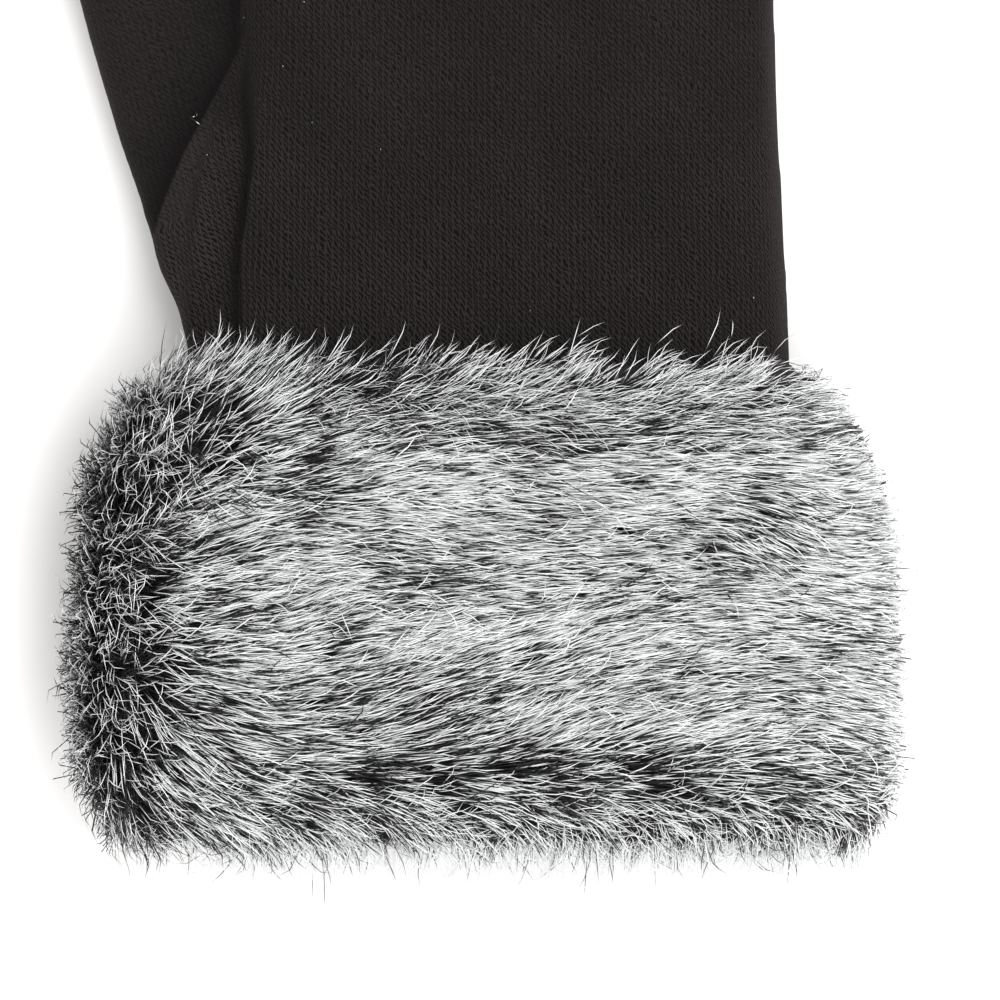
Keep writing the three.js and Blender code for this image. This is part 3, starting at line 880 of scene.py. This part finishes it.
# What each part of the cuff adds to a value of the nap
TURN_TO_HAND = {"whole": 40, "left_end": 28, "right_half": -16}  # degrees
TURN_TO_MOUTH = {"by_mouth": 22, "mouth_rim": 38}
DARK_SIDE_EDGE = {"whole": -56.5, "hand_side": 10, "wrist_corner": -8}  # x
LIFT = {  # degrees
    "whole": 12.5, "dark_side": 30, "right_end": 10, "under": -8.5, "mouth": 8, "wrist": 4,
    "outer_dark_side": 8,
}
TONE = {"whole": 0.76, "mouth": 0.1, "dark_side": -0.12}
DARK = {"whole": 0.205, "dark_side": 0.37, "dark_wrist": 0.27, "mouth": -0.2, "right_end": -0.1}
WILD = {"wild_side": 1, "mouth": 0.9, "wild_wrist": 0.55}
LENGTH = {"whole": 1, "wild": -0.2, "wrist": -0.1, "mouth_rim": -0.1}
THINNED = {"whole": 0.12, "sparse_under": 0.6, "wild_inside": 0.34}
STRAYS = {"whole": 0.035, "wrist_strays": 0.2}
TURN_PLACES = (-15, 7, -5)  # y: where the turn to the hand starts, how much later past the corner, and ends
DARK_SIDE_SOFTNESS = 3
# Slow random changes of the nap: strength, reach in x and in y, shift in x and in y
TURN_DRIFTS = ((5, 9, 5, 0, 0), (3, 3.5, 2.5, 20, 0))
TONE_DRIFTS = ((0.2, 8, 3.4, 7, 0), (0.08, 20, 12, 3, 0))
DARK_DRIFTS = ((0.16, 7, 3, 31, 5),)
# Random spread of the tufts, then of the hairs about their tufts: degrees, shares and millimetres
TUFT_TURN, TUFT_LIFT, TUFT_TONE, WILD_TUFT_TURN = 3, 2, 0.08, 40
TUFT_LENGTH, HAIRS_IN_TUFT = (0.85, 1.1), (7, 13)
HAIR_TURN, HAIR_LIFT, HAIR_TONE, HAIR_ROOT = 3, 2.5, 0.17, 1.3
HAIR_LENGTH, HAIR_WIDTH = (0.75, 1.1), (0.75, 1.15)
WILD_TURN, STRAY_TURN, STRAY_LIFT = 28, 18, (0, 9)
LIFT_LIMITS = (2, 80)
BEND, WILD_BEND, STRAY_BEND = 6, 32, 10
GATHER, WILD_GATHERS_LESS, GATHER_POWER = (0.2, 0.55), 0.6, 1.4  # how a tuft's hairs draw together
LEAST_FROSTED, MOST_DARK = 0.34, 0.18  # tones
FINER = 0.4  # how much finer the wild hairs and those at the edges are
ROOT_DEPTH = 0.7
# How far past their line the longest hairs stand, how far inside it the line for most is, and how far
# back a hair may be turned, as a sine
PAST_FRINGE, PAST_MOUTH = (3, 3.2, -0.3), (1.4, 1, -0.2)


def added(part, values):
    """The sum of what the parts of the cuff add to a value."""
    return sum(value * part[name] for name, value in values.items())


def nap(x, y, z, drift):
    """The fur at places on the hide, as arrays: its turn from straight round the cuff towards the hand, its
    lift, its tone, its share of dark hairs, how wild it is, and what follows from these."""
    part = soft_parts(CUFF_PARTS, x, y, z)
    part["whole"] = np.ones(x.shape)
    past_edge = x - added(part, DARK_SIDE_EDGE)
    dark_side = smooth_step(DARK_SIDE_SOFTNESS, -DARK_SIDE_SOFTNESS, past_edge) * part["off_floor"]
    part["dark_side"] = dark_side
    part["outer_dark_side"] = dark_side * part["outward"]
    part["wild_side"] = dark_side * (1 - 0.5 * part["outward"])
    part["dark_wrist"] = part["wrist"] * part["left_half"]
    part["wild_wrist"] = part["wrist"] * part["left_side"]
    at_edge = np.maximum(part["mouth_edge"], part["wrist_edge"])
    part["wild"] = np.clip(added(part, WILD), 0, 1)
    part["wild_inside"] = part["wild"] * (1 - at_edge)

    start, later, end = TURN_PLACES
    turn = added(part, TURN_TO_HAND) * smooth_step(start + later * part["past_corner"], end, y)
    turn -= added(part, TURN_TO_MOUTH)
    for *place, swing in FLOW:
        turn += part["top"] * swing * hump(x, y, *place)
    turn += drift.total(x, y, TURN_DRIFTS)
    dark = added(part, DARK) + drift.total(x, y, DARK_DRIFTS)
    for *place, share in SHADOWS:
        dark += share * hump(x, y, *place)
    return {
        "turn": turn,
        "lift": added(part, LIFT),
        "tone": added(part, TONE) + drift.total(x, y, TONE_DRIFTS),
        "dark": dark,
        "wild": part["wild"],
        "at_edge": at_edge,
        "length": added(part, LENGTH),
        "thinned": added(part, THINNED),
        "strays": added(part, STRAYS),
    }


def fur_end(x):
    """How far towards the hand the hairs' roots go, by x."""
    left = LEFT_FALL * np.maximum(0, LEFT_CORNER - x)
    return FUR_REACH[1] - left - RIGHT_FALL * np.maximum(0, x - RIGHT_CORNER)


class FurPlan:
    """All the hairs of the cuff, as arrays with one value for each hair."""

    def __init__(self, fur):
        draw = np.random.default_rng(fur.seed)
        self.hide = Hide(SKIN)
        hair = self.tufts(fur, draw)
        self.y, self.share, self.wild = hair["y"], hair["share"], hair["wild"]
        count = len(self.y)
        self.stray = draw.uniform(0, 1, count) < hair["strays"]
        loose = self.stray * draw.normal(0, STRAY_TURN, count)
        loose += self.wild * draw.normal(0, WILD_TURN, count)
        self.aside = draw.normal(0, HAIR_ROOT, (2, count))
        gather = draw.uniform(*GATHER, count) * (1 - WILD_GATHERS_LESS * self.wild)
        self.gather = np.where(self.stray, 0.0, gather)
        turn = np.radians(hair["turn"] + draw.normal(0, HAIR_TURN, count) + loose)
        lift = hair["lift"] + draw.normal(0, HAIR_LIFT, count)
        lift += self.stray * draw.uniform(*STRAY_LIFT, count)
        self.lift = np.radians(np.clip(lift, *LIFT_LIMITS))
        self.length = hair["length"] * draw.uniform(*HAIR_LENGTH, count)
        self.round = self.hide.length_round(self.y)
        self.turn = self.held_back(turn, draw)
        frosted = np.clip(hair["tone"] + draw.normal(0, HAIR_TONE, count), LEAST_FROSTED, 1)
        is_dark = draw.uniform(0, 1, count) < hair["dark"]
        self.tone = np.where(is_dark, draw.uniform(0, MOST_DARK, count), frosted)
        fine = np.maximum(self.wild, hair["at_edge"])
        self.width = fur.width / MM * draw.uniform(*HAIR_WIDTH, count) * (1 - FINER * fine)
        most_bend = BEND + WILD_BEND * self.wild + STRAY_BEND * self.stray
        self.bend = np.radians(draw.normal(0, 1, count) * most_bend)

    def tufts(self, fur, draw):
        """The tufts' values, repeated for each of a tuft's hairs."""
        drift = Drift(draw)
        y = draw.uniform(*FUR_REACH, fur.tufts)
        share = draw.uniform(0, 1, fur.tufts)
        point, _ = self.hide.sample(y, share)
        tuft = {"y": y, "share": share, **nap(point[:, 0], y, point[:, 2], drift)}
        kept = (draw.uniform(0, 1, fur.tufts) > tuft["thinned"]) & (y < fur_end(point[:, 0]))
        tuft = {name: values[kept] for name, values in tuft.items()}
        count = len(tuft["y"])
        own_turn = draw.normal(0, TUFT_TURN, count)
        tuft["turn"] = tuft["turn"] + own_turn + tuft["wild"] * draw.normal(0, WILD_TUFT_TURN, count)
        tuft["lift"] = tuft["lift"] + draw.normal(0, TUFT_LIFT, count)
        tuft["tone"] = tuft["tone"] + draw.normal(0, TUFT_TONE, count)
        tuft["length"] = fur.length / MM * draw.uniform(*TUFT_LENGTH, count) * tuft["length"]
        owner = np.repeat(np.arange(count), draw.integers(*HAIRS_IN_TUFT, count))
        return {name: values[owner] for name, values in tuft.items()}

    def held_back(self, turn, draw):
        """Turns back the hairs whose tips would stand out past the fringe or the line at the mouth."""
        flat = self.length * np.cos(self.lift)
        under_tip, out = self.hide.sample(self.y, self.share + flat * np.cos(turn) / self.round)
        tip_x = under_tip[:, 0] + out[:, 0] * self.length * np.sin(self.lift)
        fringe, mouth = (np.interp(tip_x, *np.array(line).T) for line in (FRINGE, MOUTH_FRINGE))
        past = draw.exponential(1.0, len(turn))
        most, inside, least = PAST_FRINGE
        highest = np.arcsin(np.clip((fringe + np.minimum(past, most) - inside - self.y) / flat, least, 1))
        most, inside, least = PAST_MOUTH
        lowest = -np.arcsin(np.clip((self.y - mouth + np.minimum(past, most) - inside) / flat, least, 1))
        wrapped = (turn + math.pi) % (2 * math.pi) - math.pi
        backward = np.abs(wrapped) > math.pi / 2
        rising = np.where(backward, np.sign(wrapped) * math.pi - wrapped, wrapped)
        held = np.clip(rising, lowest, highest)
        return np.where(backward, np.sign(wrapped) * math.pi - held, held)

    def path(self, chosen, levels):
        """The chosen hairs' points at the levels, and the way out of the hide at their tips."""
        y, share, turn, lift = self.y[chosen], self.share[chosen], self.turn[chosen], self.lift[chosen]
        length, bend, around = self.length[chosen], self.bend[chosen], self.round[chosen]
        points = []
        for t in levels:
            slack = self.aside[:, chosen] * (1 - self.gather[chosen] * t ** GATHER_POWER)
            heading = turn + bend * (t - 0.5)
            reach = length * np.cos(lift) * t
            y_here = y + slack[1] + reach * np.sin(heading)
            share_here = share + (slack[0] + reach * np.cos(heading)) / around
            centre, out = self.hide.sample(y_here, share_here)
            height = -ROOT_DEPTH + (length * np.sin(lift) + ROOT_DEPTH) * math.sin(t * math.pi / 2)
            points.append(centre + out * height[:, None])
        return np.stack(points, 1), out

    def mesh(self, name, chosen, levels):
        path, out = self.path(chosen, levels)
        run = path[:, -1] - path[:, 0]
        side = np.cross(run, out)
        side /= np.linalg.norm(side, axis=1, keepdims=True)
        out = np.cross(side, run)
        out /= np.linalg.norm(out, axis=1, keepdims=True)
        return joined_strands(name, levels, path, side, out, self.width[chosen], self.tone[chosen])


def cuff_backing_mesh():
    """The hide as a closed tube, open through its middle, with its fur side out and its ground side in."""
    outer, lining = Hide(SKIN), Hide(SKIN_LINING[::-1])
    rows = [(outer, y, 0) for y in np.linspace(SKIN[0][0], SKIN[-1][0], BACKING_ROWS)]
    rows += [(lining, y, 1) for y in np.linspace(SKIN_LINING[0][0], SKIN_LINING[-1][0], LINING_ROWS)]
    shape = bmesh.new()
    kept = shape.verts.layers.float_vector.new("cloth")
    share = np.arange(BACKING_STEPS) / BACKING_STEPS
    rings = []
    for hide, y, inside in rows:
        ring = bmesh.ops.create_circle(shape, segments=BACKING_STEPS, radius=1)["verts"]
        points, _ = hide.sample(np.full(BACKING_STEPS, y), share)
        for vert, point, way_round in zip(ring, points, share):
            vert.co = Vector(point) * MM + ZERO
            vert[kept] = (way_round * GROUND_ROUND, y, inside)
        rings.append(sorted({edge for vert in ring for edge in vert.link_edges}, key=lambda e: e.index))
    for first, second in zip(rings, rings[1:] + rings[:1]):
        bmesh.ops.bridge_loops(shape, edges=first + second)
    bmesh.ops.recalc_face_normals(shape, faces=shape.faces)
    mesh = bpy.data.meshes.new("cuff_backing")
    shape.to_mesh(mesh)
    shape.free()
    return mesh


def lint_mesh(name, cloth):
    """A few pale stray threads that lie on the knit."""
    corners = [vert.co for vert in cloth.vertices]
    skin = BVHTree.FromPolygons(corners, [face.vertices for face in cloth.polygons])
    levels = tuple(np.linspace(0, 1, LINT_POINTS))
    lines = []
    for x, y, length, heading, curl, rise, _ in LINT:
        points = []
        for t in levels:
            turn = math.radians(heading + curl * (t - 0.5))
            hit, _, _, _ = skin.ray_cast(ZERO + Vector((x, y, ABOVE_ALL)) * MM, Vector((0, 0, -1)))
            points.append((x, y, (hit.z - ZERO.z) / MM + LINT_CLEARANCE + rise * t))
            x += math.cos(turn) * length / (len(levels) - 1)
            y += math.sin(turn) * length / (len(levels) - 1)
        lines.append(points)
    path = np.array(lines)
    run = path[:, -1] - path[:, 0]
    side = np.cross(run, (0, 0, 1))
    side /= np.linalg.norm(side, axis=1, keepdims=True)
    out = np.tile((0.0, 0.0, 1.0), (len(path), 1))
    tone = np.array([row[-1] for row in LINT])
    return joined_strands(name, levels, path, side, out, np.full(len(path), LINT_WIDTH), tone)


class KnitSettings(bpy.types.PropertyGroup):
    wale: FloatProperty(name="Column", description="Breadth of one column of stitches, mm", default=0.95)
    course: FloatProperty(name="Row", description="Height of one row of stitches, mm", default=0.92)
    grain: FloatProperty(
        name="Grain", description="Size of the cloth's mesh", default=0.8 * MM, subtype="DISTANCE"
    )
    smoothing: IntProperty(name="Smoothing", description="Rounds of smoothing over the cloth", default=26)
    kept: FloatProperty(name="Kept", description="Share of the mesh kept at the end", default=0.38)
    pit_colour: FloatVectorProperty(
        name="Pits", description="Colour between the stitches", subtype="COLOR",
        default=(0.0007, 0.0006, 0.0006),
    )
    yarn_colour: FloatVectorProperty(
        name="Yarn", description="Colour of the yarn", subtype="COLOR", default=(0.0151, 0.0126, 0.0122)
    )


class FurSettings(bpy.types.PropertyGroup):
    seed: IntProperty(name="Seed", description="Start of the random draws", default=7)
    tufts: IntProperty(name="Tufts", description="Tufts of hair drawn before thinning", default=11500)
    length: FloatProperty(
        name="Length", description="Mean length of a hair", default=12.5 * MM, subtype="DISTANCE"
    )
    width: FloatProperty(
        name="Width", description="Thickness of a hair", default=0.21 * MM, subtype="DISTANCE"
    )
    root_colour: FloatVectorProperty(
        name="Root", description="Colour of the roots", subtype="COLOR", default=(0.0095, 0.0095, 0.011)
    )
    middle_colour: FloatVectorProperty(
        name="Middle", description="Colour of the duller tips", subtype="COLOR", default=(0.49, 0.49, 0.495)
    )
    tip_colour: FloatVectorProperty(
        name="Tip", description="Colour of the brightest tips", subtype="COLOR", default=(0.82, 0.835, 0.84)
    )


class StageSettings(bpy.types.PropertyGroup):
    view_width: FloatProperty(
        name="View", description="Breadth that the picture takes in", default=148.6 * MM, subtype="DISTANCE"
    )
    camera_height: FloatProperty(
        name="Camera height", description="Camera above the floor", default=0.9, subtype="DISTANCE"
    )
    floor_colour: FloatVectorProperty(
        name="Floor", description="Colour of the floor", subtype="COLOR", default=(0.86, 0.86, 0.86)
    )


def settings():
    return bpy.context.scene.glove_knit, bpy.context.scene.glove_fur, bpy.context.scene.glove_stage


class GLOVE_OT_knit(bpy.types.Operator):
    """Makes the back, the palm and the thumb as one sewn cloth"""

    bl_idname = "glove.knit"
    bl_label = "Knit"

    def execute(self, context):
        knit, _, _ = settings()
        nodes = ("back_panel", "palm_panel", "thumb")
        piece = sewn_hand("knit_hand", nodes, knit)
        lay_cloth(piece.data)
        dress(piece, knit_material("black_jersey", knit), nodes)
        return {"FINISHED"}


class GLOVE_OT_cuff_backing(bpy.types.Operator):
    """Makes the hide that carries the fur"""

    bl_idname = "glove.cuff_backing"
    bl_label = "Cuff backing"

    def execute(self, context):
        knit, fur, _ = settings()
        material = hide_material("dark_hide", fur, knit)
        show("cuff_backing", cuff_backing_mesh(), material, ["fur_cuff"])
        return {"FINISHED"}


class GLOVE_OT_fur(bpy.types.Operator):
    """Combs the hairs of the cuff, in seven pieces"""

    bl_idname = "glove.fur"
    bl_label = "Fur"

    def execute(self, context):
        _, fur, _ = settings()
        plan = FurPlan(fur)
        material = fur_material("frosted_fur", fur)
        share, y = plan.share, plan.y
        wrist, mouth = y > WRIST_PIECE, y < MOUTH_PIECE
        thumb_side = ~wrist & ~mouth & ((share <= THUMB_SIDE_END) | (share > THUMB_SIDE_START))
        middle = ~wrist & ~mouth & ~thumb_side
        top = middle & (share < TOP_END)
        parts = {
            "fur_wrist_edge": (wrist, CURLED),
            "fur_mouth_edge": (mouth, CURLED),
            "fur_thumb_side": (thumb_side, CURLED),
            "fur_back_by_hand": (top & (y > HAND_AND_MOUTH), COMBED),
            "fur_back_by_mouth": (top & (y <= HAND_AND_MOUTH), COMBED),
            "fur_outer_side": (middle & (share >= TOP_END) & (share < OUTER_END), COMBED),
            "fur_under": (middle & (share >= OUTER_END), COMBED),
        }
        for name, (chosen, levels) in parts.items():
            show(name, plan.mesh(name, chosen, levels), material)
        return {"FINISHED"}


class GLOVE_OT_lint(bpy.types.Operator):
    """Lays a few pale threads on the knit"""

    bl_idname = "glove.lint"
    bl_label = "Lint"

    def execute(self, context):
        _, fur, _ = settings()
        cloth = bpy.data.objects["knit_hand"].data
        show("lint", lint_mesh("lint", cloth), fur_material("pale_thread", fur))
        return {"FINISHED"}


FLOOR_HALF = 2  # metres from the floor's middle to its edges
FLOOR_PALER = 1.02
BACKDROP_COLOUR, BACKDROP_STRENGTH = (1.0, 0.985, 0.97), 1.02
PICTURE_MIDDLE = (-2.25, -21, 0)
PICTURE_HEIGHT = 0.02  # metres over the floor at which the picture takes in its breadth
SENSOR = 36
LIGHTS = (
    # name, place in metres from the picture's middle, breadth in metres, power in watts
    ("window_light", (0.62, 0.2, 1.05), 1.1, 12),
    ("near_light", (0.3, -0.85, 0.9), 1.0, 9),
)


class GLOVE_OT_stage(bpy.types.Operator):
    """Sets up the floor, the light and the camera"""

    bl_idname = "glove.stage"
    bl_label = "Stage"

    def execute(self, context):
        _, _, stage = settings()
        scene = context.scene
        scene.view_settings.view_transform = "Standard"
        self.floor(scene, stage)
        world = bpy.data.worlds.new("soft_white")
        world.use_nodes = True
        backdrop = world.node_tree.nodes["Background"]
        backdrop.inputs["Color"].default_value = opaque(BACKDROP_COLOUR)
        backdrop.inputs["Strength"].default_value = BACKDROP_STRENGTH
        scene.world = world
        middle = ZERO + Vector(PICTURE_MIDDLE) * MM
        for light in LIGHTS:
            self.lamp(scene, middle, *light)

        data = bpy.data.cameras.new("camera")
        data.sensor_width = SENSOR
        data.lens = SENSOR * (stage.camera_height - PICTURE_HEIGHT) / stage.view_width
        camera = bpy.data.objects.new("camera", data)
        camera.location = middle + Vector((0, 0, stage.camera_height))
        scene.collection.objects.link(camera)
        scene.camera = camera
        return {"FINISHED"}

    @staticmethod
    def floor(scene, stage):
        shape = bmesh.new()
        bmesh.ops.create_grid(shape, x_segments=2, y_segments=2, size=FLOOR_HALF)
        mesh = bpy.data.meshes.new("floor")
        shape.to_mesh(mesh)
        shape.free()
        floor = bpy.data.objects.new("floor", mesh)
        scene.collection.objects.link(floor)
        material, wire = new_material("white_floor")
        grain = wire.node("ShaderNodeTexNoise", None, {"Scale": 3.0})
        tint = grain.blend(opaque(stage.floor_colour), opaque(stage.floor_colour, FLOOR_PALER))
        finish_material(wire, {"Base Color": tint, "Roughness": 0.9, "Specular IOR Level": 0.1})
        mesh.materials.append(material)

    @staticmethod
    def lamp(scene, middle, name, place, size, power):
        data = bpy.data.lights.new(name, "AREA")
        data.shape = "DISK"
        data.size = size
        data.energy = power
        lamp = bpy.data.objects.new(name, data)
        lamp.location = middle + Vector(place)
        lamp.rotation_euler = Vector(place).to_track_quat("Z", "Y").to_euler()
        scene.collection.objects.link(lamp)


OPERATORS = (GLOVE_OT_knit, GLOVE_OT_cuff_backing, GLOVE_OT_fur, GLOVE_OT_lint, GLOVE_OT_stage)


class GLOVE_PT_parts(bpy.types.Panel):
    bl_idname = "GLOVE_PT_parts"
    bl_label = "Fur-trimmed glove"
    bl_space_type = "VIEW_3D"
    bl_region_type = "UI"
    bl_category = "Glove"

    def draw(self, context):
        for group in settings():
            for name in group.__annotations__:
                self.layout.prop(group, name)
        for operator in OPERATORS:
            self.layout.operator(operator.bl_idname)


CLASSES = (KnitSettings, FurSettings, StageSettings, *OPERATORS, GLOVE_PT_parts)
GROUPS = {"glove_knit": KnitSettings, "glove_fur": FurSettings, "glove_stage": StageSettings}


def register():
    for kind in CLASSES:
        bpy.utils.register_class(kind)
    for name, group in GROUPS.items():
        setattr(bpy.types.Scene, name, PointerProperty(type=group))


def unregister():
    for name in GROUPS:
        delattr(bpy.types.Scene, name)
    for kind in reversed(CLASSES):
        bpy.utils.unregister_class(kind)


def main():
    register()
    bpy.ops.glove.stage()
    bpy.ops.glove.knit()
    bpy.ops.glove.cuff_backing()
    bpy.ops.glove.fur()
    bpy.ops.glove.lint()


if __name__ == "__main__":
    main()
